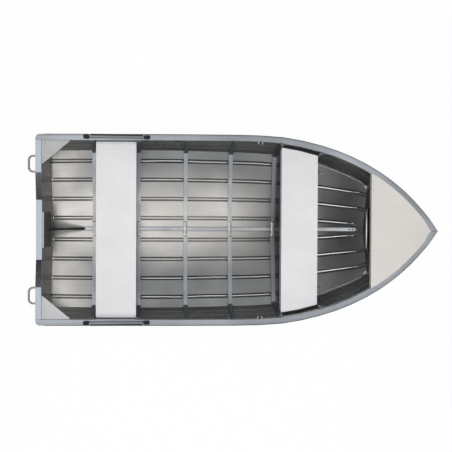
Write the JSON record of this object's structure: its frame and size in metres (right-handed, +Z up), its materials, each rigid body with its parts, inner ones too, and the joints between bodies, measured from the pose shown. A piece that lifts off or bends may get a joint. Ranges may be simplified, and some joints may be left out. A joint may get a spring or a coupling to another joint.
{
  "type": "open aluminium dinghy",
  "caption": "Open riveted aluminium dinghy with a pressed V bottom, two thwarts, a short foredeck over a bow locker and a transom cut low for an outboard motor.",
  "frame": {"origin": "on the centreline amidships, at the water surface of the boat afloat with no load", "axes": "+X towards the bow, +Y to port, +Z up"},
  "size_m": [3.6014, 1.682, 0.7054],
  "materials": {
    "hull_sheet": "bare mill-finish sheet, dulled",
    "frame_sheet": "bare folded sheet",
    "extrusion": "satin extrusion",
    "bright_sheet": "satin bright sheet",
    "polished_fitting": "polished",
    "cast_fitting": "cast, satin",
    "coated_sheet": "off-white coating, satin",
    "black_plastic": "matt black",
    "motor_pad": "grey plastic board",
    "bung_plastic": "black plastic"
  },
  "bodies": {
    "root": {"bottom_panel_port": "hull_sheet", "bottom_panel_starboard": "hull_sheet", "bow_bulkhead": "hull_sheet", "bow_eye": "polished_fitting", "chine_rail_port": "extrusion", "chine_rail_starboard": "extrusion", "drain_bung": "bung_plastic", "foredeck": "coated_sheet", "gunwale_port": "extrusion", "gunwale_starboard": "extrusion", "keel_bar": "extrusion", "keelson": "frame_sheet", "motor_pad_inner": "motor_pad", "motor_pad_outer": "motor_pad", "rail_bracket_aft_port": "black_plastic", "rail_bracket_aft_starboard": "black_plastic", "rail_bracket_fore_port": "black_plastic", "rail_bracket_fore_starboard": "black_plastic", "rib_1": "frame_sheet", "rib_2": "frame_sheet", "rib_3": "frame_sheet", "rib_4": "frame_sheet", "rib_5": "frame_sheet", "rib_6": "frame_sheet", "rowlock_block_port": "cast_fitting", "rowlock_block_starboard": "cast_fitting", "seat_aft": "coated_sheet", "seat_aft_plug_port": "black_plastic", "seat_aft_plug_starboard": "black_plastic", "seat_front": "coated_sheet", "seat_front_plug_port": "black_plastic", "seat_front_plug_starboard": "black_plastic", "side_panel_port": "hull_sheet", "side_panel_starboard": "hull_sheet", "side_rail_port": "polished_fitting", "side_rail_starboard": "polished_fitting", "stem_bar": "extrusion", "stern_gusset_port": "bright_sheet", "stern_gusset_starboard": "bright_sheet", "transom": "hull_sheet", "transom_cap": "bright_sheet", "transom_handle_port": "polished_fitting", "transom_handle_starboard": "polished_fitting", "transom_knee": "frame_sheet"}
  },
  "joints": []
}
